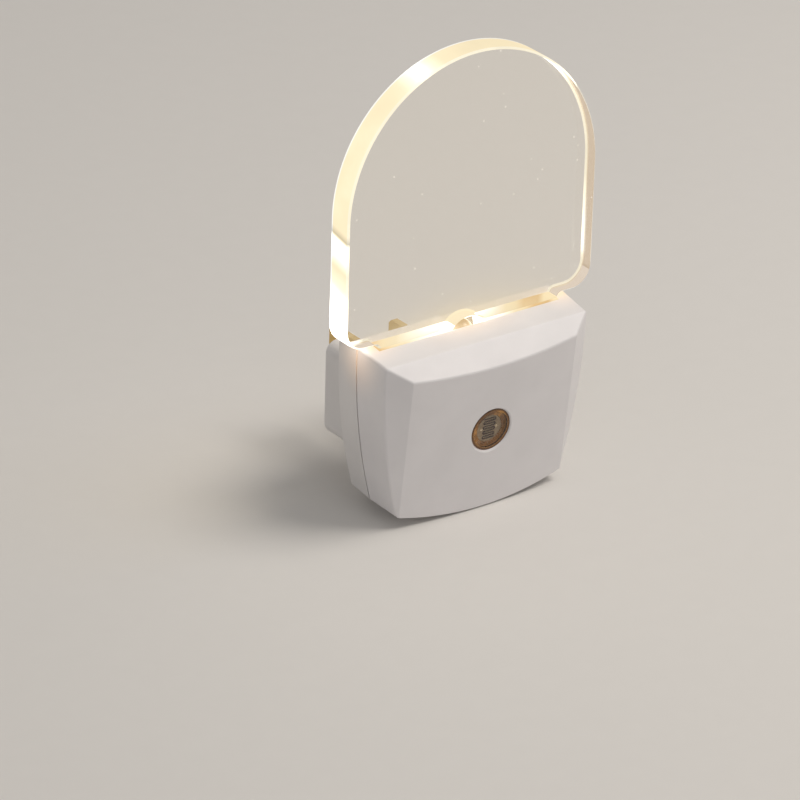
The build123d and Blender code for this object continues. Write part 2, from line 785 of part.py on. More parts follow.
with BuildPart() as blade_carrier:
    with BuildSketch(facing_plane(carrier_front_y)):
        RectangleRounded(2 * carrier_half, 2 * carrier_top, block_room_radius)
        with Locations(*tail_places):
            Rectangle(blade_thickness + 2 * loose_fit, tail_width + 2 * loose_fit, mode=Mode.SUBTRACT)
    extrude(amount=carrier_thickness)
    with BuildSketch(board_back_plane):
        with Locations(*both_sides(carrier_post_x, carrier_post_z),
                       *both_sides(carrier_post_x, -carrier_post_z)):
            Circle(carrier_post_diameter / 2)
    extrude(amount=board_back_y - carrier_front_y)
blade_carrier.part.label = "blade_carrier"
export_step(blade_carrier.part, "parts/blade_carrier.step")

# ---- circuit board and solder ----

lamp_leads = lead_places((0, lamp_lead_z), lamp_lead_spacing)
cell_places = [(x, cell_lead_z) for x, z in cell_leads]
round_leads = film_leads + can_leads + lamp_leads + lead_places(zener_place, zener_pitch)
for place in diode_places:
    round_leads += lead_places(place, diode_pitch)
for place, upright in resistor_places:
    round_leads += lead_places(place, resistor_pitch, upright)

with BuildPart() as circuit_board:
    with BuildSketch(board_plane):
        with Locations((0, (board_foot + board_top) / 2)):
            RectangleRounded(2 * board_half, board_top - board_foot, board_corner)
        with Locations(*round_leads):
            Circle(lead_diameter / 2 + loose_fit, mode=Mode.SUBTRACT)
        with Locations(*transistor_leads):
            Circle(transistor_lead / sqrt(2) + loose_fit / 2, mode=Mode.SUBTRACT)
        with Locations(*cell_places):
            Circle(lead_diameter / 2 + 2 * loose_fit, mode=Mode.SUBTRACT)
        with Locations(*tail_places):
            Rectangle(blade_thickness + 2 * loose_fit, tail_width + 2 * loose_fit, mode=Mode.SUBTRACT)
    extrude(amount=-board_thickness)
circuit_board.part.label = "circuit_board"
export_step(circuit_board.part, "parts/circuit_board.step")

# a cone of solder round each lead behind the board, and round each blade's tail in front of it
with BuildPart() as solder_joints:
    with BuildSketch(board_back_plane):
        with Locations(*round_leads, *transistor_leads, *cell_places):
            Circle(lead_diameter / 2 + solder_spread)
    extrude(amount=-solder_height, taper=solder_taper)
    with BuildSketch(board_plane):
        with Locations(*tail_places):
            Rectangle(blade_thickness + 2 * solder_spread, tail_width + 2 * solder_spread)
    extrude(amount=solder_height, taper=solder_taper)
    with BuildSketch(board_back_plane):
        with Locations(*round_leads):
            Circle(lead_diameter / 2)
        with Locations(*transistor_leads):
            Rectangle(transistor_lead, transistor_lead)
    extrude(amount=-solder_height, mode=Mode.SUBTRACT)
    with BuildSketch(board_plane):
        with Locations(*tail_places):
            Rectangle(blade_thickness, tail_width)
    extrude(amount=solder_height, mode=Mode.SUBTRACT)
    add(photocell_leads.part, mode=Mode.SUBTRACT)
solder_joints.part.label = "solder_joints"
export_step(solder_joints.part, "parts/solder_joints.step")
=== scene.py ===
import bpy
import math
from mathutils import Matrix, Vector


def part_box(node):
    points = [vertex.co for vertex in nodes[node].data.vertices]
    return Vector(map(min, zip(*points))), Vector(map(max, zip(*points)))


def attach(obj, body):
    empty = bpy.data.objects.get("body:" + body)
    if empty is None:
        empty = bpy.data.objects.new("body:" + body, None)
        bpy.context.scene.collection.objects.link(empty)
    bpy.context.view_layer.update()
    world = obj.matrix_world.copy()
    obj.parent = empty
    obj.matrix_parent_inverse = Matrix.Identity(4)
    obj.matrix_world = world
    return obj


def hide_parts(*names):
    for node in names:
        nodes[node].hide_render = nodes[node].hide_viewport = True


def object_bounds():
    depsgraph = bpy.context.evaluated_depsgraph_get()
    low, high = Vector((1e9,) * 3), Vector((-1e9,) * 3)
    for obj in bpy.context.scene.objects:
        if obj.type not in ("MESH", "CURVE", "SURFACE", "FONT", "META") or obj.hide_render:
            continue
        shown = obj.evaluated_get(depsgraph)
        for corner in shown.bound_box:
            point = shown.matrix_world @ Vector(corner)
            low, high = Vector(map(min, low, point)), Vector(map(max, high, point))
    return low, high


# plug-in night light: the looks, built round the fixed frame, in metres

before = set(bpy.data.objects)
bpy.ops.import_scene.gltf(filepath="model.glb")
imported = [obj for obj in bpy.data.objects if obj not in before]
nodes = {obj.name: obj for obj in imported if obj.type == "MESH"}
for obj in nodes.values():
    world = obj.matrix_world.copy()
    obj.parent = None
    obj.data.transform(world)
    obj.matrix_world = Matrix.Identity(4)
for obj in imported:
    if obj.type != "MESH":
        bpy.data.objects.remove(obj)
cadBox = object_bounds()
mm = 0.001


def linearOf(hexColour, alpha=1.0):
    # an sRGB hex colour as the linear values that shaders take
    parts = [int(hexColour[i:i + 2], 16) / 255 for i in (1, 3, 5)]
    lin = [c / 12.92 if c <= 0.04045 else ((c + 0.055) / 1.055) ** 2.4 for c in parts]
    return (*lin, alpha)


def greyOf(value):
    return (value, value, value, 1.0)


def perMm(size):
    return 1.0 / (size * mm)       # texture scale for cells of that size in millimetres


def addNode(tree, kind, sockets=None, stops=(), **settings):
    # one node with its settings; a node or socket handed in is joined, a plain value is set.
    # Sockets go by name, or by number where names repeat: a colour Mix takes 0, 6 and 7
    node = tree.nodes.new(kind)
    for name, value in settings.items():
        setattr(node, name, value)
    for key, value in (sockets or {}).items():
        if isinstance(value, bpy.types.Node):
            value = value.outputs[0]
        if isinstance(value, bpy.types.NodeSocket):
            tree.links.new(value, node.inputs[key])
        else:
            node.inputs[key].default_value = value
    for number, (place, colour) in enumerate(stops):
        marks = node.color_ramp.elements
        mark = marks[number] if number < 2 else marks.new(place)
        mark.position = place
        mark.color = colour
    return node


def newMaterial(name):
    mat = bpy.data.materials.new(name)
    mat.use_nodes = True
    tree = mat.node_tree
    tree.nodes.clear()
    return mat, tree, addNode(tree, "ShaderNodeOutputMaterial"), addNode(tree, "ShaderNodeTexCoord")


def mottle(tree, where, size, low, high):
    # soft blotches between two values, size millimetres across
    noise = addNode(tree, "ShaderNodeTexNoise", {"Vector": where, "Scale": perMm(size), "Detail": 3.0})
    return addNode(tree, "ShaderNodeMapRange", {"Value": noise, "From Min": 0.3, "From Max": 0.7,
                                                "To Min": low, "To Max": high})


def mottledColour(tree, where, size, first, second):
    # two linear colours that drift into each other in such blotches
    return addNode(tree, "ShaderNodeMix", {0: mottle(tree, where, size, 0.0, 1.0), 6: first, 7: second},
                   data_type="RGBA").outputs[2]


def grain(tree, where, size, depth, strength=0.5):
    # surface grain of that width and depth in millimetres
    noise = addNode(tree, "ShaderNodeTexNoise", {"Vector": where, "Scale": perMm(size), "Detail": 2.0})
    return addNode(tree, "ShaderNodeBump", {"Height": noise, "Distance": depth * mm, "Strength": strength})


def insideBox(tree, where, low, high):
    # 1 inside a box whose corners are in millimetres, 0 outside it
    middle = [(a + b) / 2 * mm for a, b in zip(low, high)]
    half = [(b - a) / 2 * mm for a, b in zip(low, high)]
    unit = addNode(tree, "ShaderNodeMapping", {"Vector": where, "Location": middle, "Scale": half},
                   vector_type="TEXTURE")
    reach = addNode(tree, "ShaderNodeVectorMath", {0: unit}, operation="ABSOLUTE")
    steps = addNode(tree, "ShaderNodeVectorMath", {0: reach}, operation="FLOOR")
    outside = addNode(tree, "ShaderNodeVectorMath", {0: steps}, operation="LENGTH")
    return addNode(tree, "ShaderNodeMath", {0: 1.0, 1: outside.outputs["Value"]}, operation="SUBTRACT",
                   use_clamp=True)


def letLampsThrough(tree, shader, tint, out):
    # the finished shader, but lamps shine through the piece, which would else cast a black shadow
    shade = addNode(tree, "ShaderNodeBsdfTransparent", {"Color": tint})
    rays = addNode(tree, "ShaderNodeLightPath")
    whole = addNode(tree, "ShaderNodeMixShader", {0: rays.outputs["Is Shadow Ray"], 1: shader, 2: shade})
    tree.links.new(whole.outputs[0], out.inputs["Surface"])


print("stage 1: frame loaded")

# the camera, a long lens from above left
cameraSetup = {
    "place": (-0.56518, -0.75529, 0.45782),
    "azimuth": 36.737,       # degrees that it looks to the right of +Y
    "elevation": -26.266,    # and below the horizon, so less than 0
    "roll": 1.705,
    "lens": 238.63,
    "filmWidth": 36.0,
    "clipStart": 0.05,
    "clipEnd": 20.0,
}


def makeCamera(setup):
    az, el, roll = (math.radians(setup[k]) for k in ("azimuth", "elevation", "roll"))
    ahead = Vector((math.sin(az) * math.cos(el), math.cos(az) * math.cos(el), math.sin(el)))
    right = ahead.cross(Vector((0, 0, 1))).normalized()
    up = right.cross(ahead)
    turnedRight = math.cos(roll) * right + math.sin(roll) * up
    turnedUp = math.cos(roll) * up - math.sin(roll) * right
    turn = Matrix((turnedRight, turnedUp, -ahead)).transposed().to_4x4()
    data = bpy.data.cameras.new("camera")
    data.lens = setup["lens"]
    data.sensor_width = setup["filmWidth"]
    data.clip_start = setup["clipStart"]
    data.clip_end = setup["clipEnd"]
    camera = bpy.data.objects.new("camera", data)
    camera.matrix_world = Matrix.Translation(setup["place"]) @ turn
    bpy.context.scene.collection.objects.link(camera)
    bpy.context.scene.camera = camera
    bpy.context.scene.view_settings.view_transform = "Standard"


makeCamera(cameraSetup)

# the studio: a matt floor, one soft light from above right, a weak one from the left
studio = {
    "aim": (0.0, -0.015, 0.02),
    "floorColour": "#E0DDD9",
    "floorShade": "#DFDCD8",
    "floorMottle": 5.0,      # mm
    "floorRoughness": 0.85,
    "stippleSize": 1.0,      # mm
    "stippleDepth": 0.01,    # mm
    "stippleStrength": 0.1,
    "floorGap": 0.3,         # mm below the light's lowest point
    "floorHalf": 3.0,        # metres
    "worldColour": "#F4F2F0",
    "worldSeen": 0.80,       # how bright the room looks, and below, how much it lights
    "worldStrength": 0.37,
    "keyPlace": (0.40, -0.28, 0.76),
    "keySize": 0.5,
    "keyPower": 4.5,
    "keyColour": "#FFF9F1",
    "fillPlace": (-0.55, -0.75, 0.30),
    "fillSize": 0.6,
    "fillPower": 0.4,
    "fillColour": "#F2F5FF",
}


def areaLight(name, place, size, power, colour, aim):
    data = bpy.data.lights.new(name, "AREA")
    data.shape = "DISK"
    data.size = size
    data.energy = power
    data.color = linearOf(colour)[:3]
    lamp = bpy.data.objects.new(name, data)
    lamp.location = place
    lamp.rotation_mode = "QUATERNION"
    lamp.rotation_quaternion = (Vector(aim) - Vector(place)).to_track_quat("-Z", "Y")
    bpy.context.scene.collection.objects.link(lamp)


def makeWorld(setup):
    world = bpy.data.worlds.new("studio")
    bpy.context.scene.world = world
    world.use_nodes = True
    tree = world.node_tree
    tree.nodes.clear()
    colour = linearOf(setup["worldColour"])
    lit = addNode(tree, "ShaderNodeBackground", {"Color": colour, "Strength": setup["worldStrength"]})
    seen = addNode(tree, "ShaderNodeBackground", {"Color": colour, "Strength": setup["worldSeen"]})
    rays = addNode(tree, "ShaderNodeLightPath").outputs
    direct = addNode(tree, "ShaderNodeMath", {0: rays["Is Camera Ray"], 1: rays["Is Glossy Ray"]},
                     operation="MAXIMUM")
    shown = addNode(tree, "ShaderNodeMath", {0: direct, 1: rays["Is Transmission Ray"]}, operation="MAXIMUM")
    mix = addNode(tree, "ShaderNodeMixShader", {0: shown, 1: lit, 2: seen})
    addNode(tree, "ShaderNodeOutputWorld", {"Surface": mix})


def makeFloor(setup):
    half = setup["floorHalf"]
    level = cadBox[0].z - setup["floorGap"] * mm
    mesh = bpy.data.meshes.new("floor")
    mesh.from_pydata([(-half, -half, level), (half, -half, level), (half, half, level), (-half, half, level)],
                     [], [(0, 1, 2, 3)])
    floor = bpy.data.objects.new("floor", mesh)
    bpy.context.scene.collection.objects.link(floor)
    # matt emulsion paint on board: even, with the faint stipple that a roller leaves
    mat, tree, out, coords = newMaterial("matt emulsion paint")
    where = coords.outputs["Object"]
    colour = mottledColour(tree, where, setup["floorMottle"], linearOf(setup["floorColour"]),
                           linearOf(setup["floorShade"]))
    stipple = grain(tree, where, setup["stippleSize"], setup["stippleDepth"], setup["stippleStrength"])
    paint = addNode(tree, "ShaderNodeBsdfPrincipled",
                    {"Base Color": colour, "Roughness": setup["floorRoughness"], "Normal": stipple})
    tree.links.new(paint.outputs[0], out.inputs["Surface"])
    mesh.materials.append(mat)


for name in ("key", "fill"):
    areaLight(name + "Light", studio[name + "Place"], studio[name + "Size"], studio[name + "Power"],
              studio[name + "Colour"], studio["aim"])
makeWorld(studio)
makeFloor(studio)
print("stage 2: camera and studio")

# the lamp's light, shared by the panel and by the slot that it stands in, with places in millimetres
glowLook = {
    "panelMiddle": -17.0,    # the plane that the panel is centred on
    "archCentre": 44.6,
    "housingTop": 17.3,
    "slotLow": (-21.9, -20.4, 8.0),
    "slotHigh": (21.9, -13.6, 17.28),
    "cream": "#FFEEC8",      # the edges, far from the lamp
    "hot": "#FFFCF2",        # near it
    "bevel": "#FFF5DA",      # the fine lines along the edge's two bevels
    "pale": "#FFE9BC",       # along the slot
    "gold": "#EBC286",       # at the slot's ends
    "tan": "#DDB98C",        # inside an edge that turns away
    "paintedSpill": "#FFC078",      # a painted glow: the lamp's light on the plastic round the slot, as emission
    "spillEnds": ((22.8, -17.0, 15.8), (9.0, 9.0, 11.0), 0.36),     # centre, reach, power
    "spillMiddle": ((1.0, -18.0, 17.0), (18.0, 9.0, 5.0), 0.3),
    # tones along the slot and their power, by millimetres from the middle
    "slotTones": [(-21.9, "gold", 1.0), (-18.5, "pale", 1.0), (-15.5, "cream", 1.0), (-10, "hot", 1.5),
                  (-5, "hot", 3.0), (3.5, "hot", 3.0), (8.5, "hot", 1.3), (11, "cream", 1.0),
                  (13.5, "pale", 0.95), (15.5, "gold", 0.95), (19, "gold", 0.9), (20.5, "pale", 1.0)],
}


def slotLight(tree, x):
    # the lamp's light at a place along the slot, whitest in the middle
    look = glowLook
    half = look["slotHigh"][0]
    share = addNode(tree, "ShaderNodeMapRange", {"Value": x, "From Min": -half * mm, "From Max": half * mm})
    most = max(power for _, _, power in look["slotTones"])
    marks = [((place + half) / half / 2, name, power / most) for place, name, power in look["slotTones"]]
    tone = addNode(tree, "ShaderNodeValToRGB", {"Fac": share},
                   stops=[(mark, linearOf(look[name])) for mark, name, _ in marks])
    level = addNode(tree, "ShaderNodeValToRGB", {"Fac": share},
                    stops=[(mark, greyOf(power)) for mark, _, power in marks])
    power = addNode(tree, "ShaderNodeMath", {0: level, 1: most}, operation="MULTIPLY")
    return addNode(tree, "ShaderNodeEmission", {"Color": tone, "Strength": power})


def paintedSpillLight(tree, place):
    # how much painted glow, for the lamp's light, the plastic round the slot gets, the same left and right
    sideways = addNode(tree, "ShaderNodeMath", {0: place["X"]}, operation="ABSOLUTE")
    folded = addNode(tree, "ShaderNodeCombineXYZ", {0: sideways, 1: place["Y"], 2: place["Z"]})
    total = 0.0
    for key in ("spillEnds", "spillMiddle"):
        centre, reach, power = glowLook[key]
        unit = addNode(tree, "ShaderNodeMapping", {"Vector": folded, "Location": [c * mm for c in centre],
                                                   "Scale": [r * mm for r in reach]}, vector_type="TEXTURE")
        fade = addNode(tree, "ShaderNodeTexGradient", {0: unit}, gradient_type="QUADRATIC_SPHERE")
        total = addNode(tree, "ShaderNodeMath", {0: fade.outputs["Fac"], 1: power, 2: total},
                        operation="MULTIPLY_ADD")
    return total


# moulded ABS: hard white plastic from a spark-eroded mould, so its highlights are broad and soft and
# its tone is never quite even. The mould's grain is drawn coarser than it is, to show at all
absLook = {
    "cover": ("#E6E3E4", 0.40),        # colour and roughness
    "housing": ("#E2DFDE", 0.44),
    "ior": 1.53,
    "grainSize": 0.45,                 # mm, as all lengths here
    "grainDepth": 0.014,
    "grainStrength": 0.6,
    "cloudSize": 8.0,
    "cloudShade": 0.95,
    "sheenSize": 2.5,                  # the patches that are a little duller or glossier
    "sheenLow": -0.04,
    "sheenHigh": 0.05,
    "seamLow": (-40, -17.0, -30),      # the groove along the parting line, painted dark for the shade in it
    "seamHigh": (40, -16.66, 17.6),
    # painted shade: the dark colour of the parting groove
    "seamShadeColour": "#3A332E",
    "seamPaintedGlow": 0.9,                   # painted glow at its top end, for the panel's warm light on it
    "seamPaintedGlowFrom": 11.0,              # the height where that starts
    "uprightTilt": 0.5,                # how much a slot wall's normal may lean up or down
}


def mouldedAbs(name, hexColour, roughness):
    look = absLook
    mat, tree, out, coords = newMaterial(name)
    where = coords.outputs["Object"]
    base = linearOf(hexColour)
    cloud = tuple(c * look["cloudShade"] for c in base[:3]) + (1.0,)
    clean = mottledColour(tree, where, look["cloudSize"], base, cloud)
    # painted shade: the parting groove is coloured dark
    seam = insideBox(tree, where, look["seamLow"], look["seamHigh"])
    colour = addNode(tree, "ShaderNodeMix", {0: seam, 6: clean, 7: linearOf(look["seamShadeColour"])},
                     data_type="RGBA").outputs[2]
    place = addNode(tree, "ShaderNodeSeparateXYZ", {0: where}).outputs
    # painted glow: the groove's top end glows warm, as emission
    paintedSeamGlow = addNode(tree, "ShaderNodeMapRange",
                   {"Value": place["Z"], "From Min": look["seamPaintedGlowFrom"] * mm,
                    "From Max": glowLook["housingTop"] * mm, "To Max": look["seamPaintedGlow"]})
    # painted light: the groove's and the slot's warm glow, added to the housing as emission
    warm = addNode(tree, "ShaderNodeMath", {0: seam, 1: paintedSeamGlow, 2: paintedSpillLight(tree, place)},
                   operation="MULTIPLY_ADD")
    gloss = mottle(tree, where, look["sheenSize"], roughness + look["sheenLow"],
                   roughness + look["sheenHigh"])
    bumps = grain(tree, where, look["grainSize"], look["grainDepth"], look["grainStrength"])
    plastic = addNode(tree, "ShaderNodeBsdfPrincipled",
                      {"Base Color": colour, "IOR": look["ior"], "Roughness": gloss, "Normal": bumps,
                       "Emission Color": linearOf(glowLook["paintedSpill"]), "Emission Strength": warm})

    # the slot's upright walls are painted with the lamp's light, as emission, where it floods them
    facing = addNode(tree, "ShaderNodeSeparateXYZ", {0: coords.outputs["Normal"]}).outputs
    tilt = addNode(tree, "ShaderNodeMath", {0: facing["Z"]}, operation="ABSOLUTE")
    upright = addNode(tree, "ShaderNodeMath", {0: tilt, 1: look["uprightTilt"]}, operation="LESS_THAN")
    wall = addNode(tree, "ShaderNodeMath",
                   {0: insideBox(tree, where, glowLook["slotLow"], glowLook["slotHigh"]), 1: upright},
                   operation="MULTIPLY")
    lit = addNode(tree, "ShaderNodeMixShader", {0: wall, 1: plastic, 2: slotLight(tree, place["X"])})
    tree.links.new(lit.outputs[0], out.inputs["Surface"])
    return mat


# cast acrylic: water-clear, with polished faces. Light from the lamp runs inside it and comes out
# at the edges and bevels, whitest near the foot, in bands that slant a little from front to back
acrylicLook = {
    "ior": 1.49,
    "edgeLean": 0.35,        # an edge's normal has at most this much Y in it
    "faceLean": 0.9,         # a big face's has at least this much, and a bevel's lies between
    "underTilt": -0.5,       # the Z below which a normal looks down
    # how bright the edge is on its way round, by degrees from the top (left is less than 0)
    "edgeLevels": [(-179, 0.8), (-139, 0.8), (-134, 4.0), (-121, 3.2), (-115, 1.25), (-108, 1.02),
                   (-101, 1.7), (-96.4, 1.5), (-95.4, 0.45), (-94.6, 0.8), (-93.4, 1.03), (-62, 1.08),
                   (-40, 1.02), (-33, 1.08), (-29, 1.3), (-24, 1.55), (-19, 1.2), (-14, 1.03),
                   (0, 0.94), (20, 0.94), (38, 1.05), (48, 2.2), (57, 1.15), (88, 0.92), (100, 1.0),
                   (113, 1.5), (123, 2.2), (127, 0.9), (179, 0.85)],
    "bandSlant": 0.22,       # mm up for each mm towards the wall
    "rippleSize": 6.0,       # mm, and how far it goes up and down
    "rippleShare": 0.03,
    "whitenFrom": 1.05,      # the power from which an edge turns from cream to white
    "whitenTo": 1.6,
    "backLine": 2.15,        # mm behind the middle, where the edge whitens towards its back bevel
    "glintFrom": 0.9,        # mm behind the middle, where glints begin inside the edge
    "glintTo": 2.4,
    "glintShare": 0.95,
    "tanShare": 0.42,
    "bevelPower": 1.06,
    "bevelShare": 0.9,
    "dimShare": 0.3,         # a bevel's share below the shoulders and in the box at the front right
    "dimLow": (24, -21, 16),
    "dimHigh": (31, -17, 62),
    "notchLow": (-5.4, -20.5, 17.2),
    "notchHigh": (5.4, -13.5, 18.9),
    "notchPower": 1.1,
    "notchShare": 0.85,
    # painted glow: a pale emission on the faces, densest just above the lamp
    "hazeReach": 3.0,        # mm above the housing
    "hazeHalf": 16.0,
    "hazePower": 0.9,
    "hazeShare": 0.4,
    "veilShare": 0.045,
    "dustSpacing": 1.7,
    "dustSize": 0.45,        # coarser than real dust, to show
    "dustShift": 7.0,        # moves the back face's specks away from the front's
    "dustShare": 0.035,
    # painted highlights: the specks' power and colour are emission
    "dustGlintPower": 0.45,
    "dustGlintColour": "#FFF6E6",
    "shadowTint": "#F4F1EA",
}


def paintedHazeOver(tree, shader, place, isFace):
    # a faint pale glow painted on the faces as emission, denser just above the lamp
    look, glow = acrylicLook, glowLook
    rise = addNode(tree, "ShaderNodeMath", {0: place["Z"], 1: glow["housingTop"] * mm},
                   operation="SUBTRACT")
    fall = addNode(tree, "ShaderNodeMath", {0: rise, 1: -perMm(look["hazeReach"])}, operation="MULTIPLY")
    aside = addNode(tree, "ShaderNodeMath", {0: place["X"], 1: perMm(look["hazeHalf"])},
                    operation="MULTIPLY")
    mirrored = addNode(tree, "ShaderNodeMath", {0: aside, 1: -1.0}, operation="MULTIPLY")
    fading = addNode(tree, "ShaderNodeMath", {0: aside, 1: mirrored, 2: fall}, operation="MULTIPLY_ADD")
    cloud = addNode(tree, "ShaderNodeMath", {0: fading}, operation="EXPONENT")
    thick = addNode(tree, "ShaderNodeMath", {0: cloud, 1: look["hazeShare"], 2: look["veilShare"]},
                    operation="MULTIPLY_ADD")
    share = addNode(tree, "ShaderNodeMath", {0: thick, 1: isFace}, operation="MULTIPLY", use_clamp=True)
    haze = addNode(tree, "ShaderNodeEmission", {"Color": linearOf(glow["pale"]),
                                                "Strength": look["hazePower"]})
    return addNode(tree, "ShaderNodeMixShader", {0: share, 1: shader, 2: haze})


def dustAndGlintsOver(tree, shader, place, isFace):
    # specks of dust on the faces, painted as bright glints by emission, where they catch the light
    look = acrylicLook
    shifted = addNode(tree, "ShaderNodeMath", {0: place["Y"], 1: look["dustShift"], 2: place["X"]},
                      operation="MULTIPLY_ADD")
    spot = addNode(tree, "ShaderNodeCombineXYZ", {0: shifted, 1: place["Z"]})
    specks = addNode(tree, "ShaderNodeTexVoronoi", {"Vector": spot, "Scale": perMm(look["dustSpacing"])},
                     voronoi_dimensions="2D")
    pick = addNode(tree, "ShaderNodeSeparateColor", {0: specks.outputs["Color"]})
    widest = look["dustSize"] / 2 / look["dustSpacing"]
    size = addNode(tree, "ShaderNodeMath", {0: pick.outputs[1], 1: widest}, operation="MULTIPLY")
    isSpeck = addNode(tree, "ShaderNodeMath", {0: specks.outputs["Distance"], 1: size},
                      operation="LESS_THAN")
    isKept = addNode(tree, "ShaderNodeMath", {0: pick, 1: look["dustShare"]}, operation="LESS_THAN")
    dusty = addNode(tree, "ShaderNodeMath", {0: isSpeck, 1: isKept}, operation="MULTIPLY")
    onFace = addNode(tree, "ShaderNodeMath", {0: dusty, 1: isFace}, operation="MULTIPLY")
    faint = addNode(tree, "ShaderNodeMath", {0: onFace, 1: look["dustGlintPower"]}, operation="MULTIPLY")
    light = addNode(tree, "ShaderNodeEmission", {"Color": linearOf(look["dustGlintColour"]), "Strength": 1.0})
    return addNode(tree, "ShaderNodeMixShader", {0: faint, 1: shader, 2: light})


def litAcrylic(name):
    look, glow = acrylicLook, glowLook
    mat, tree, out, coords = newMaterial(name)
    where = coords.outputs["Object"]
    outside = addNode(tree, "ShaderNodeMath",
                      {0: 1.0, 1: addNode(tree, "ShaderNodeNewGeometry").outputs["Backfacing"]},
                      operation="SUBTRACT")
    place = addNode(tree, "ShaderNodeSeparateXYZ", {0: where}).outputs
    facing = addNode(tree, "ShaderNodeSeparateXYZ", {0: coords.outputs["Normal"]}).outputs
    x, y, z = place["X"], place["Y"], place["Z"]
    clear = addNode(tree, "ShaderNodeBsdfPrincipled",
                    {"Base Color": (1.0, 1.0, 1.0, 1.0), "Roughness": 0.0, "IOR": look["ior"],
                     "Transmission Weight": 1.0})

    # an edge's normal has no Y in it, a bevel's about 0.7 and a big face's 1
    lean = addNode(tree, "ShaderNodeMath", {0: facing["Y"]}, operation="ABSOLUTE")
    isEdge = addNode(tree, "ShaderNodeMath", {0: lean, 1: look["edgeLean"]}, operation="LESS_THAN")
    isFace = addNode(tree, "ShaderNodeMath", {0: lean, 1: look["faceLean"]}, operation="GREATER_THAN")
    notBevel = addNode(tree, "ShaderNodeMath", {0: isEdge, 1: isFace}, operation="ADD")
    isBevel = addNode(tree, "ShaderNodeMath", {0: 1.0, 1: notBevel}, operation="SUBTRACT")
    looksDown = addNode(tree, "ShaderNodeMath", {0: facing["Z"], 1: look["underTilt"]},
                        operation="LESS_THAN")

    # brightness round the edge, on lines that slant from the front of the panel to its back
    depth = addNode(tree, "ShaderNodeMath", {0: y, 1: -glow["panelMiddle"] * mm}, operation="ADD")
    slanted = addNode(tree, "ShaderNodeMath", {0: depth, 1: -look["bandSlant"], 2: z},
                      operation="MULTIPLY_ADD")
    height = addNode(tree, "ShaderNodeMath", {0: slanted, 1: glow["archCentre"] * mm}, operation="SUBTRACT")
    around = addNode(tree, "ShaderNodeCombineXYZ", {0: height, 1: x})
    turn = addNode(tree, "ShaderNodeTexGradient", {0: around}, gradient_type="RADIAL")
    most = max(power for _, power in look["edgeLevels"])
    marks = [(0.5 + angle / 360, greyOf(power / most)) for angle, power in look["edgeLevels"]]
    level = addNode(tree, "ShaderNodeValToRGB", {"Fac": turn.outputs["Fac"]}, stops=marks)
    ripple = mottle(tree, where, look["rippleSize"], (1 - look["rippleShare"]) * most,
                    (1 + look["rippleShare"]) * most)
    power = addNode(tree, "ShaderNodeMath", {0: level, 1: ripple}, operation="MULTIPLY")
    heat = addNode(tree, "ShaderNodeMapRange", {"Value": power, "From Min": look["whitenFrom"],
                                                "From Max": look["whitenTo"]})
    backLine = addNode(tree, "ShaderNodeMath", {0: depth, 1: look["backLine"] * mm}, operation="GREATER_THAN")
    whiteness = addNode(tree, "ShaderNodeMath", {0: heat, 1: backLine}, operation="MAXIMUM")
    tone = addNode(tree, "ShaderNodeMix", {0: whiteness, 6: linearOf(glow["cream"]),
                                           7: linearOf(glow["hot"])}, data_type="RGBA").outputs[2]
    edgeLight = addNode(tree, "ShaderNodeEmission", {"Color": tone, "Strength": power})
    bevelPower = addNode(tree, "ShaderNodeMath", {0: power, 1: look["bevelPower"]}, operation="MULTIPLY")
    bevelLight = addNode(tree, "ShaderNodeEmission", {"Color": linearOf(glow["bevel"]),
                                                      "Strength": bevelPower})

    # an edge glows outwards; from inside the panel it looks tan, with glints next to the back
    nearBack = addNode(tree, "ShaderNodeMapRange", {"Value": depth, "From Min": look["glintFrom"] * mm,
                                                    "From Max": look["glintTo"] * mm})
    glint = addNode(tree, "ShaderNodeMath", {0: heat, 1: nearBack}, operation="MULTIPLY")
    inside = addNode(tree, "ShaderNodeMix", {0: glint, 6: linearOf(glow["tan"]), 7: linearOf(glow["hot"])},
                     data_type="RGBA").outputs[2]
    tanLight = addNode(tree, "ShaderNodeEmission", {"Color": inside, "Strength": 1.0})
    insideShare = addNode(tree, "ShaderNodeMapRange", {"Value": glint, "To Min": look["tanShare"],
                                                       "To Max": look["glintShare"]})
    edgeMask = addNode(tree, "ShaderNodeMath", {0: insideShare, 1: outside}, operation="MAXIMUM")
    sideLight = addNode(tree, "ShaderNodeMixShader", {0: outside, 1: tanLight, 2: edgeLight})
    edgeShare = addNode(tree, "ShaderNodeMath", {0: edgeMask, 1: isEdge}, operation="MULTIPLY")
    edged = addNode(tree, "ShaderNodeMixShader", {0: edgeShare, 1: clear, 2: sideLight})

    # a bevel glows on both sides, but less on the front's right side and under the shoulders
    rightFront = insideBox(tree, where, look["dimLow"], look["dimHigh"])
    isDim = addNode(tree, "ShaderNodeMath", {0: looksDown, 1: rightFront}, operation="MAXIMUM")
    bevelMask = addNode(tree, "ShaderNodeMapRange", {"Value": isDim, "To Min": look["bevelShare"],
                                                     "To Max": look["dimShare"]})
    bevelShare = addNode(tree, "ShaderNodeMath", {0: bevelMask, 1: isBevel}, operation="MULTIPLY")
    bevelled = addNode(tree, "ShaderNodeMixShader", {0: bevelShare, 1: edged, 2: bevelLight})

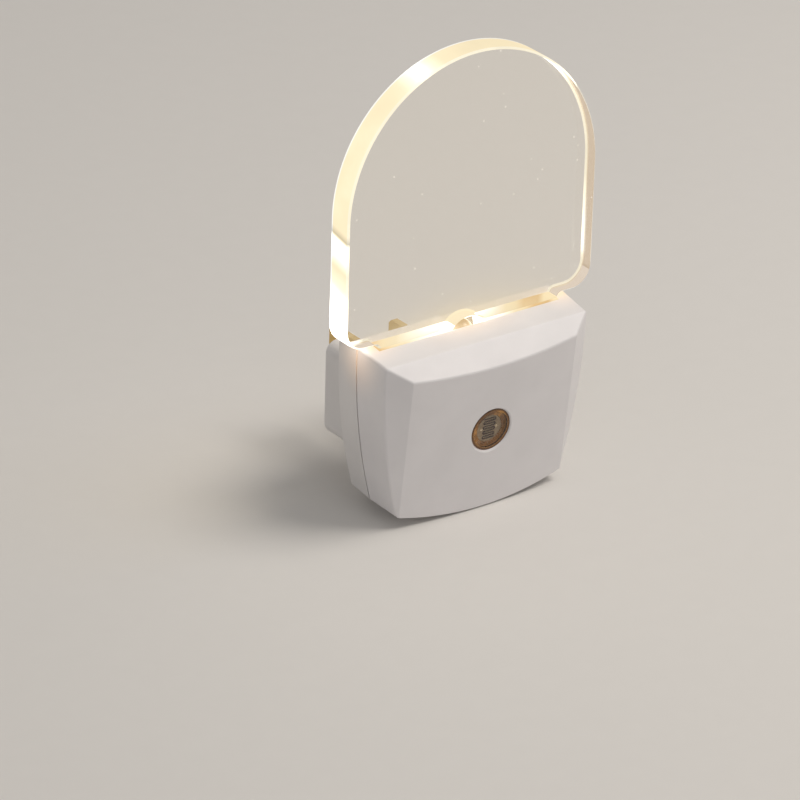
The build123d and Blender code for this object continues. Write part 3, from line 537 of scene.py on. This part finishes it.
    # the tongue, in the slot, and the notch over the lamp are full of light
    notFace = addNode(tree, "ShaderNodeMath", {0: look["notchShare"], 1: isFace}, operation="SUBTRACT",
                      use_clamp=True)
    inNotch = insideBox(tree, where, look["notchLow"], look["notchHigh"])
    notchShare = addNode(tree, "ShaderNodeMath", {0: inNotch, 1: notFace}, operation="MULTIPLY")
    notchLight = addNode(tree, "ShaderNodeEmission", {"Color": linearOf(glow["cream"]),
                                                      "Strength": look["notchPower"]})
    notched = addNode(tree, "ShaderNodeMixShader", {0: notchShare, 1: bevelled, 2: notchLight})
    inSlot = insideBox(tree, where, glow["slotLow"], glow["slotHigh"])
    footed = addNode(tree, "ShaderNodeMixShader", {0: inSlot, 1: notched, 2: slotLight(tree, x)})

    hazy = paintedHazeOver(tree, footed, place, isFace)
    marked = dustAndGlintsOver(tree, hazy, place, isFace)
    letLampsThrough(tree, marked, linearOf(look["shadowTint"]), out)
    return mat


# the sensor: a clear window on an amber sleeve, both turned about one axis that leans
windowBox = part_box("sensor_window")
sensorLook = {
    "lean": 6.6,             # degrees that its face leans
    "ior": 1.49,
    "windowTint": "#F8EEDD",
    "windowShine": 0.05,     # low, so that the cell behind it shows
    "windowRoughness": 0.02,
    "waveSize": 1.6,         # mm, the pane's slight unevenness from the mould
    "waveDepth": 0.006,      # mm
    "waveStrength": 0.3,
    "amberEdge": "#54341C",
    "amberDeep": "#6E4521",
    "amberBrown": "#A17344",
    # painted highlights: the gold below and the glow values after it are emission
    "amberHighlightGold": "#DDA24A",
    "amberRoughness": 0.16,
    "amberClear": 0.15,
    "glowPower": 0.42,
    "glowPatch": 0.7,        # mm, the patches that catch less or more of that
    "glowLeast": 0.1,
    "glowMost": 1.4,
    "rimFrom": 3.95,         # mm from the axis, where the pane ends and its skirt begins
    "rimFade": 0.35,         # mm from there to where the amber is darkest
    "rimGlow": 0.12,
    "ringSpacing": 3.14,     # mm
    "skirtFacing": 0.5,      # a skirt's normal has at most this much of the axis in it
    # how much painted gold highlight the amber gets, by its share of the way round from the left through the
    # foot
    "highlightLobes": [(0.0, 1.0), (0.1, 0.5), (0.18, 0.2), (0.3, 0.26), (0.45, 0.2), (0.57, 0.12), (0.62, 0.5),
              (0.66, 1.0), (0.73, 0.15), (0.9, 0.05), (1.0, 1.0)],
}


def sensorPlace(tree, coords):
    # coordinates about the sensor's axis, which comes out as Z
    middle = (windowBox[0] + windowBox[1]) / 2
    return addNode(tree, "ShaderNodeMapping",
                   {"Vector": coords.outputs["Object"], "Location": middle,
                    "Rotation": (math.radians(90 + sensorLook["lean"]), 0.0, 0.0)}, vector_type="TEXTURE")


def fromAxis(tree, turned):
    # the distance from the sensor's axis
    flat = addNode(tree, "ShaderNodeVectorMath", {0: turned, 1: (1.0, 1.0, 0.0)}, operation="MULTIPLY")
    return addNode(tree, "ShaderNodeVectorMath", {0: flat}, operation="LENGTH").outputs["Value"]


def amberShader(tree, coords):
    # moulded amber acrylic: brown and gold, glossy, with rings painted round its axis for fine reflection
    # lines, and gold highlights painted in as emission
    look = sensorLook
    turned = sensorPlace(tree, coords)
    ringScale = perMm(look["ringSpacing"]) * math.tau / 20     # at scale 1 a ring is tau / 20 wide
    # painted reflection: concentric rings that darken and lighten the amber round its axis
    rings = addNode(tree, "ShaderNodeTexWave", {"Vector": turned, "Scale": ringScale, "Distortion": 1.2,
                                                "Detail": 1.0, "Detail Scale": 0.6},
                    wave_type="RINGS", rings_direction="Z")
    colour = addNode(tree, "ShaderNodeMix", {0: rings.outputs["Fac"], 6: linearOf(look["amberDeep"]),
                                             7: linearOf(look["amberBrown"])}, data_type="RGBA").outputs[2]
    # painted gold highlights: emission in lobes round the axis, patchy, dimmer towards the rim
    turn = addNode(tree, "ShaderNodeTexGradient", {0: turned}, gradient_type="RADIAL")
    highlightLobes = addNode(tree, "ShaderNodeValToRGB", {"Fac": turn.outputs["Fac"]},
                    stops=[(place, greyOf(power)) for place, power in look["highlightLobes"]])
    patches = mottle(tree, coords.outputs["Object"], look["glowPatch"], look["glowLeast"],
                     look["glowMost"])
    patchy = addNode(tree, "ShaderNodeMath", {0: highlightLobes, 1: patches}, operation="MULTIPLY")
    paintedHighlight = addNode(tree, "ShaderNodeMath", {0: patchy, 1: look["glowPower"]}, operation="MULTIPLY")
    inwards = addNode(tree, "ShaderNodeMapRange",
                      {"Value": fromAxis(tree, turned), "From Min": look["rimFrom"] * mm,
                       "From Max": (look["rimFrom"] + look["rimFade"]) * mm, "To Min": 1.0,
                       "To Max": look["rimGlow"]})
    dimmed = addNode(tree, "ShaderNodeMath", {0: paintedHighlight, 1: inwards}, operation="MULTIPLY")
    darker = addNode(tree, "ShaderNodeMix", {0: inwards, 6: linearOf(look["amberEdge"]), 7: colour},
                     data_type="RGBA").outputs[2]
    return addNode(tree, "ShaderNodeBsdfPrincipled",
                   {"Base Color": darker, "Roughness": look["amberRoughness"], "IOR": look["ior"],
                    "Transmission Weight": look["amberClear"],
                    "Emission Color": linearOf(look["amberHighlightGold"]), "Emission Strength": dimmed})


def amberAcrylic(name):
    mat, tree, out, coords = newMaterial(name)
    tree.links.new(amberShader(tree, coords).outputs[0], out.inputs["Surface"])
    return mat


def clearAcrylic(name):
    # moulded acrylic: faintly warm, its skirt painted with the amber sleeve's look, and its painted
    # highlights, as the sleeve is seen through it
    look = sensorLook
    mat, tree, out, coords = newMaterial(name)
    lean = math.radians(look["lean"])
    along = addNode(tree, "ShaderNodeVectorMath", {0: coords.outputs["Normal"],
                                                   1: (0.0, -math.cos(lean), -math.sin(lean))},
                    operation="DOT_PRODUCT")
    square = addNode(tree, "ShaderNodeMath", {0: along.outputs["Value"]}, operation="ABSOLUTE")
    isRim = addNode(tree, "ShaderNodeMath", {0: fromAxis(tree, sensorPlace(tree, coords)),
                                             1: look["rimFrom"] * mm}, operation="GREATER_THAN")
    isSide = addNode(tree, "ShaderNodeMath", {0: square, 1: look["skirtFacing"]}, operation="LESS_THAN")
    isSkirt = addNode(tree, "ShaderNodeMath", {0: isSide, 1: isRim}, operation="MAXIMUM")
    waves = grain(tree, coords.outputs["Object"], look["waveSize"], look["waveDepth"],
                  look["waveStrength"])
    pane = addNode(tree, "ShaderNodeBsdfPrincipled",
                   {"Base Color": linearOf(look["windowTint"]), "Roughness": look["windowRoughness"],
                    "IOR": look["ior"], "Specular IOR Level": look["windowShine"],
                    "Transmission Weight": 1.0, "Normal": waves})
    # painted: the skirt takes the amber sleeve's colours and its painted gold highlights
    mix = addNode(tree, "ShaderNodeMixShader", {0: isSkirt, 1: pane, 2: amberShader(tree, coords)})
    letLampsThrough(tree, mix, greyOf(1.0), out)
    return mat


# the cell's disc: fired ceramic under a vapour-coated metal film, dull grey-brown and a little patchy
cellLook = {
    "dark": "#8E8172",
    "light": "#A69887",
    "patchSize": 0.8,        # mm
    "metallic": 0.2,
    "roughness": 0.55,
}


def metallisedCeramic(name):
    look = cellLook
    mat, tree, out, coords = newMaterial(name)
    colour = mottledColour(tree, coords.outputs["Object"], look["patchSize"], linearOf(look["dark"]),
                           linearOf(look["light"]))
    disc = addNode(tree, "ShaderNodeBsdfPrincipled", {"Base Color": colour, "Metallic": look["metallic"],
                                                      "Roughness": look["roughness"]})
    tree.links.new(disc.outputs[0], out.inputs["Surface"])
    return mat


# the lamp: cast epoxy, lit from its foot, its dome darker than the light that floods round it
lampLook = {
    "dome": "#AD9A7F",
    "light": "#F2D6B4",
    "ior": 1.51,
    "roughness": 0.25,
    "fullTo": 12.0,          # mm, the height up to which it's brightest
    "fadedAt": 15.5,         # and where it has faded to the next value
    "fadedPower": 0.1,
}


def litEpoxy(name):
    look = lampLook
    mat, tree, out, coords = newMaterial(name)
    place = addNode(tree, "ShaderNodeSeparateXYZ", {0: coords.outputs["Object"]})
    power = addNode(tree, "ShaderNodeMapRange",
                    {"Value": place.outputs["Z"], "From Min": look["fullTo"] * mm,
                     "From Max": look["fadedAt"] * mm, "To Min": 1.0, "To Max": look["fadedPower"]})
    lamp = addNode(tree, "ShaderNodeBsdfPrincipled",
                   {"Base Color": linearOf(look["dome"]), "Roughness": look["roughness"],
                    "IOR": look["ior"], "Emission Color": linearOf(look["light"]),
                    "Emission Strength": power})
    tree.links.new(lamp.outputs[0], out.inputs["Surface"])
    return mat


# the small parts' finishes: name, two shades, roughness, grain in mm and shine
plainFinishes = {
    # printed on as a powder and fired: dark red-brown, with no gloss at all
    "photocell_track": ("sintered cadmium sulphide", "#1E0302", "#300805", 0.6, 0.1, 0.1),
    # moulded: near black, with a dull sheen
    "led_holder": ("black nylon", "#141414", "#1E1E1E", 0.5, 0.3, 0.5),
    # moulded without a pigment: creamy and a little cloudy
    "blade_carrier": ("natural ABS", "#D6D3CB", "#E0DDD5", 0.5, 0.4, 0.5),
    # pressed from layers of soaked paper: tan and fibrous, dull
    "circuit_board": ("phenolic paper laminate", "#8F7440", "#A98B52", 0.55, 0.25, 0.5),
    # a moulded case filled with resin: mustard, with a soft gloss
    "film_capacitor": ("polyester film box", "#B9951E", "#CBA62B", 0.35, 0.4, 0.5),
    # shrunk on with hot air: a tight dark skin with smooth highlights
    "smoothing_capacitor": ("shrink sleeve", "#15161C", "#1F2129", 0.3, 0.4, 0.5),
    # moulded round the chip: black, with a faint tooth from the mould
    "rectifier_diodes": ("moulded black epoxy", "#121212", "#1C1C1C", 0.45, 0.2, 0.5),
    # melted on to the leads: orange, and as glossy as wet paint
    "zener_diode": ("orange glass", "#A2491C", "#C05F28", 0.12, 0.3, 0.5),
    # dipped: tan, rounded over by the lacquer's own flow
    "resistors": ("tan lacquer", "#B39560", "#C9AD79", 0.35, 0.2, 0.5),
    # moulded and blasted: dark grey with hardly a highlight
    "transistor": ("moulded epoxy, matt", "#161616", "#202020", 0.5, 0.15, 0.5),
}


def plainPlastic(name, dark, light, roughness, grainSize, shine):
    # a finish whose colour drifts between two shades, over patches six grains wide
    mat, tree, out, coords = newMaterial(name)
    where = coords.outputs["Object"]
    colour = mottledColour(tree, where, grainSize * 6, linearOf(dark), linearOf(light))
    body = addNode(tree, "ShaderNodeBsdfPrincipled",
                   {"Base Color": colour, "Roughness": roughness, "IOR": 1.5, "Specular IOR Level": shine,
                    "Normal": grain(tree, where, grainSize, 0.01)})
    tree.links.new(body.outputs[0], out.inputs["Surface"])
    return mat


# bare and plated metals: name, two shades, roughness, how the lines run, and their width in mm, which
# is coarser than the real ones, to show
metalFinishes = {
    # rolled and stamped: pale yellow, with fine lines along the strip
    "blade_line": ("rolled brass", "#CFAE6B", "#DABB7A", 0.22, (1, 0.04, 1), 0.18),
    # plated in a barrel: silver-grey and slightly cloudy
    "case_screws": ("zinc-plated steel", "#A9A8A2", "#C9C8C4", 0.3, (1, 1, 1), 0.4),
    # drawn and hot-dipped: bright, with streaks along the wire
    "led_leads": ("tinned copper wire", "#B9B7B1", "#D6D4CE", 0.25, (1, 0.2, 1), 0.2),
    # set from the melt: a mirror that is dulled in patches
    "solder_joints": ("bright solder", "#9C9C9A", "#C2C2C0", 0.22, (1, 1, 1), 0.5),
}


def brightMetal(name, dark, light, roughness, stretch, size):
    # fine lines run along the axis whose stretch is under 1
    mat, tree, out, coords = newMaterial(name)
    along = addNode(tree, "ShaderNodeMapping", {"Vector": coords.outputs["Object"], "Scale": stretch})
    lines = addNode(tree, "ShaderNodeTexNoise", {"Vector": along, "Scale": perMm(size), "Detail": 4.0})
    rough = addNode(tree, "ShaderNodeMapRange", {"Value": lines, "To Min": roughness - 0.08,
                                                 "To Max": roughness + 0.12})
    bump = addNode(tree, "ShaderNodeBump", {"Height": lines, "Distance": 0.004 * mm, "Strength": 0.5})
    colour = addNode(tree, "ShaderNodeMix", {0: lines, 6: linearOf(dark), 7: linearOf(light)},
                     data_type="RGBA").outputs[2]
    metal = addNode(tree, "ShaderNodeBsdfPrincipled", {"Base Color": colour, "Metallic": 1.0,
                                                       "Roughness": rough, "Normal": bump})
    tree.links.new(metal.outputs[0], out.inputs["Surface"])
    return mat


materials = {
    "front_cover": mouldedAbs("moulded white ABS, cover", *absLook["cover"]),
    "rear_housing": mouldedAbs("moulded white ABS, housing", *absLook["housing"]),
    "light_panel": litAcrylic("cast acrylic with lit edges"),
    "sensor_window": clearAcrylic("moulded clear acrylic"),
    "photocell_sleeve": amberAcrylic("amber acrylic"),
    "photocell_body": metallisedCeramic("metallised ceramic"),
    "led_lens": litEpoxy("cast epoxy, lit"),
}
for name, finish in plainFinishes.items():
    materials[name] = plainPlastic(*finish)
for name, finish in metalFinishes.items():
    materials[name] = brightMetal(*finish)
materials["blade_neutral"] = materials["blade_line"]
materials["photocell_leads"] = materials["led_leads"]

for name, cadNode in nodes.items():
    cadNode.data.materials.clear()
    cadNode.data.materials.append(materials[name])
print("stage 3: materials on", len(nodes), "nodes")


def newGeometryTree(name, numbers):
    # a node tree with a named input for each size and one for the material
    tree = bpy.data.node_groups.new(name, "GeometryNodeTree")
    tree.interface.new_socket("Geometry", in_out="OUTPUT", socket_type="NodeSocketGeometry")
    for label, value in numbers.items():
        kind = "NodeSocketInt" if isinstance(value, int) else "NodeSocketFloat"
        tree.interface.new_socket(label, in_out="INPUT", socket_type=kind)
    tree.interface.new_socket("Material", in_out="INPUT", socket_type="NodeSocketMaterial")
    return tree, addNode(tree, "NodeGroupInput").outputs


def meshFrom(name, tree, numbers, finish):
    # runs the tree on an empty object, and keeps what it makes as a plain mesh. Inputs are set by
    # their identifiers, before the first evaluation
    maker = bpy.data.objects.new(name + "Maker", bpy.data.meshes.new(name + "Maker"))
    bpy.context.scene.collection.objects.link(maker)
    modifier = maker.modifiers.new(name, "NODES")
    modifier.node_group = tree
    values = {**numbers, "Material": finish}
    for item in tree.interface.items_tree:
        if item.in_out == "INPUT":
            modifier[item.identifier] = values[item.name]
    maker.update_tag()
    bpy.context.view_layer.update()
    ready = maker.evaluated_get(bpy.context.evaluated_depsgraph_get())
    mesh = bpy.data.meshes.new_from_object(ready)
    mesh.name = name
    maker.modifiers.remove(modifier)
    bpy.data.objects.remove(maker)
    piece = bpy.data.objects.new(name, mesh)
    bpy.context.scene.collection.objects.link(piece)
    return piece


# case screws: self-tapping, with domed heads, crossed recesses and a real thread
screwSizes = {
    "Head Radius": 1.9 * mm,
    "Head Height": 1.4 * mm,
    "Dome Radius": 3.1 * mm,
    "Core Radius": 0.75 * mm,
    "Tip Radius": 0.375 * mm,
    "Thread Radius": 0.915 * mm,     # to the middle of the thread's ridge
    "Ridge Radius": 0.165 * mm,
    "Thread Pitch": 0.85 * mm,
    "Length": 8.8 * mm,
    "Recess Width": 0.6 * mm,
    "Recess Length": 2.5 * mm,
    "Recess Depth": 0.75 * mm,
    "Upper Half": 15.5 * mm,
    "Lower Half": 14.5 * mm,
    "Upper Height": 13.0 * mm,
    "Lower Height": -12.6 * mm,
    "Head Place": -10.3 * mm,
    "Seed": 7,
}


def screwTree(numbers):
    tree, given = newGeometryTree("caseScrews", numbers)

    # one screw, its head's top at the origin and its shaft down -Z
    blank = addNode(tree, "GeometryNodeMeshCylinder", {"Vertices": 40, "Radius": given["Head Radius"],
                                                       "Depth": given["Head Height"]})
    ball = addNode(tree, "GeometryNodeMeshUVSphere", {"Segments": 48, "Rings": 48,
                                                      "Radius": given["Dome Radius"]})
    head = addNode(tree, "GeometryNodeMeshBoolean", operation="INTERSECT", solver="EXACT")
    for solid, size, share in ((blank, "Head Height", -0.5), (ball, "Dome Radius", -1.0)):
        drop = addNode(tree, "ShaderNodeMath", {0: given[size], 1: share}, operation="MULTIPLY")
        down = addNode(tree, "ShaderNodeCombineXYZ", {2: drop})
        put = addNode(tree, "GeometryNodeTransform", {0: solid, 1: down})
        tree.links.new(put.outputs[0], head.inputs[1])
    depth = addNode(tree, "ShaderNodeMath", {0: given["Recess Depth"], 1: 2.0}, operation="MULTIPLY")
    cut = addNode(tree, "GeometryNodeMeshBoolean", {"Mesh 1": head}, operation="DIFFERENCE", solver="EXACT")
    for long, wide in (("Recess Length", "Recess Width"), ("Recess Width", "Recess Length")):
        size = addNode(tree, "ShaderNodeCombineXYZ", {0: given[long], 1: given[wide], 2: depth})
        bar = addNode(tree, "GeometryNodeMeshCube", {"Size": size})
        tree.links.new(bar.outputs[0], cut.inputs[1])
    core = addNode(tree, "GeometryNodeMeshCone",
                   {"Vertices": 20, "Radius Top": given["Core Radius"],
                    "Radius Bottom": given["Tip Radius"], "Depth": given["Length"]})
    coreDrop = addNode(tree, "ShaderNodeMath", {0: given["Length"], 1: given["Head Height"]},
                       operation="ADD")
    coreFoot = addNode(tree, "ShaderNodeMath", {0: coreDrop, 1: -1.0}, operation="MULTIPLY")
    corePlace = addNode(tree, "ShaderNodeCombineXYZ", {2: coreFoot})
    turns = addNode(tree, "ShaderNodeMath", {0: given["Length"], 1: given["Thread Pitch"]},
                    operation="DIVIDE")
    threadRun = addNode(tree, "GeometryNodeCurveSpiral",
                        {"Resolution": 20, "Rotations": turns, "Start Radius": given["Thread Radius"],
                         "End Radius": given["Thread Radius"], "Height": given["Length"]})
    ridgeShape = addNode(tree, "GeometryNodeCurvePrimitiveCircle", {"Resolution": 4,
                                                                    "Radius": given["Ridge Radius"]})
    thread = addNode(tree, "GeometryNodeCurveToMesh", {0: threadRun, 1: ridgeShape, "Fill Caps": True})
    screw = addNode(tree, "GeometryNodeJoinGeometry")
    for part in (thread, core):
        put = addNode(tree, "GeometryNodeTransform", {0: part, 1: corePlace})
        tree.links.new(put.outputs[0], screw.inputs[0])
    tree.links.new(cut.outputs[0], screw.inputs[0])

    # four places, from a 2 by 2 grid spread to the two widths and heights
    grid = addNode(tree, "GeometryNodeMeshGrid", {"Size X": 2.0, "Size Y": 1.0, "Vertices X": 2,
                                                  "Vertices Y": 2})
    corner = addNode(tree, "ShaderNodeSeparateXYZ", {0: addNode(tree, "GeometryNodeInputPosition")}).outputs
    spread, height = [addNode(tree, "ShaderNodeMapRange",
                              {"Value": corner["Y"], "From Min": -0.5, "From Max": 0.5,
                               "To Min": given["Lower " + kind], "To Max": given["Upper " + kind]})
                      for kind in ("Half", "Height")]
    across = addNode(tree, "ShaderNodeMath", {0: spread, 1: corner["X"]}, operation="MULTIPLY")
    place = addNode(tree, "ShaderNodeCombineXYZ", {0: across, 1: given["Head Place"], 2: height})
    points = addNode(tree, "GeometryNodeSetPosition", {0: grid, "Position": place})

    # heads towards the wall, and each screw turned by chance about its own axis
    laid = addNode(tree, "ShaderNodeCombineXYZ", {0: -math.pi / 2})
    stood = addNode(tree, "GeometryNodeInstanceOnPoints", {0: points, "Instance": screw, "Rotation": laid})
    spin = addNode(tree, "FunctionNodeRandomValue", {2: 0.0, 3: math.tau, "Seed": given["Seed"]},
                   data_type="FLOAT")
    aroundAxis = addNode(tree, "ShaderNodeCombineXYZ", {2: spin.outputs[1]})
    turned = addNode(tree, "GeometryNodeRotateInstances", {0: stood, "Rotation": aroundAxis})
    real = addNode(tree, "GeometryNodeRealizeInstances", {0: turned})
    dressed = addNode(tree, "GeometryNodeSetMaterial", {0: real, "Material": given["Material"]})
    addNode(tree, "NodeGroupOutput", {0: dressed})
    return tree


caseScrews = meshFrom("caseScrews", screwTree(screwSizes), screwSizes, materials["case_screws"])
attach(caseScrews, "root")
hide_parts("case_screws")
print("stage 4: case screws", len(caseScrews.data.polygons), "faces")

# the photocell's track: a ribbon that winds to and fro between the leads
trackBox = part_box("photocell_track")
trackSizes = {
    "Rows": 9,
    "Pitch": 0.55 * mm,
    "Reach": 1.36 * mm,      # half the width of the winding
    "Width": 0.28 * mm,
    "Thickness": 0.08 * mm,
    "Bend": 0.25 * mm,
    "Lean": math.radians(90 + sensorLook["lean"]),
    "Place X": (trackBox[0].x + trackBox[1].x) / 2,
    "Place Y": (trackBox[0].y + trackBox[1].y) / 2,
    "Place Z": (trackBox[0].z + trackBox[1].z) / 2,
}


def trackTree(numbers):
    tree, given = newGeometryTree("photocellTrack", numbers)
    corners = addNode(tree, "ShaderNodeMath", {0: given["Rows"], 1: 2.0}, operation="MULTIPLY")
    line = addNode(tree, "GeometryNodeMeshLine", {"Count": corners})
    number = addNode(tree, "GeometryNodeInputIndex")

    # two corners to a row; corners 1 and 2 are on one side, 3 and 4 on the other, and so on
    halfNumber = addNode(tree, "ShaderNodeMath", {0: number, 1: 0.5}, operation="MULTIPLY")
    row = addNode(tree, "ShaderNodeMath", {0: halfNumber}, operation="FLOOR")
    halfLater = addNode(tree, "ShaderNodeMath", {0: number, 1: 0.5, 2: 0.5}, operation="MULTIPLY_ADD")
    pair = addNode(tree, "ShaderNodeMath", {0: halfLater}, operation="FLOOR")
    odd = addNode(tree, "ShaderNodeMath", {0: pair, 1: 2.0}, operation="MODULO")
    side = addNode(tree, "ShaderNodeMapRange", {"Value": odd, "To Min": -1.0, "To Max": 1.0})
    across = addNode(tree, "ShaderNodeMath", {0: side, 1: given["Reach"]}, operation="MULTIPLY")
    middle = addNode(tree, "ShaderNodeMath", {0: given["Rows"], 1: 0.5, 2: -0.5}, operation="MULTIPLY_ADD")
    steps = addNode(tree, "ShaderNodeMath", {0: middle, 1: row}, operation="SUBTRACT")
    height = addNode(tree, "ShaderNodeMath", {0: steps, 1: given["Pitch"]}, operation="MULTIPLY")
    place = addNode(tree, "ShaderNodeCombineXYZ", {0: across, 1: height})
    spread = addNode(tree, "GeometryNodeSetPosition", {0: line, "Position": place})

    # a flat ribbon swept along the rounded path, then laid on the cell's leaning face
    path = addNode(tree, "GeometryNodeMeshToCurve", {0: spread})
    rounded = addNode(tree, "GeometryNodeFilletCurve", {0: path, "Count": 6, "Radius": given["Bend"],
                                                        "Limit Radius": True}, mode="POLY")
    ribbon = addNode(tree, "GeometryNodeCurvePrimitiveQuadrilateral", {"Width": given["Width"],
                                                                       "Height": given["Thickness"]})
    swept = addNode(tree, "GeometryNodeCurveToMesh", {0: rounded, 1: ribbon, "Fill Caps": True})
    lean = addNode(tree, "ShaderNodeCombineXYZ", {0: given["Lean"]})
    centre = addNode(tree, "ShaderNodeCombineXYZ", {0: given["Place X"], 1: given["Place Y"],
                                                    2: given["Place Z"]})
    put = addNode(tree, "GeometryNodeTransform", {0: swept, 1: centre, 2: lean})
    real = addNode(tree, "GeometryNodeRealizeInstances", {0: put})
    dressed = addNode(tree, "GeometryNodeSetMaterial", {0: real, "Material": given["Material"]})
    addNode(tree, "NodeGroupOutput", {0: dressed})
    return tree


photocellTrack = meshFrom("photocellTrack", trackTree(trackSizes), trackSizes, materials["photocell_track"])
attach(photocellTrack, "root")
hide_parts("photocell_track")
print("stage 5: photocell track", len(photocellTrack.data.polygons), "faces")
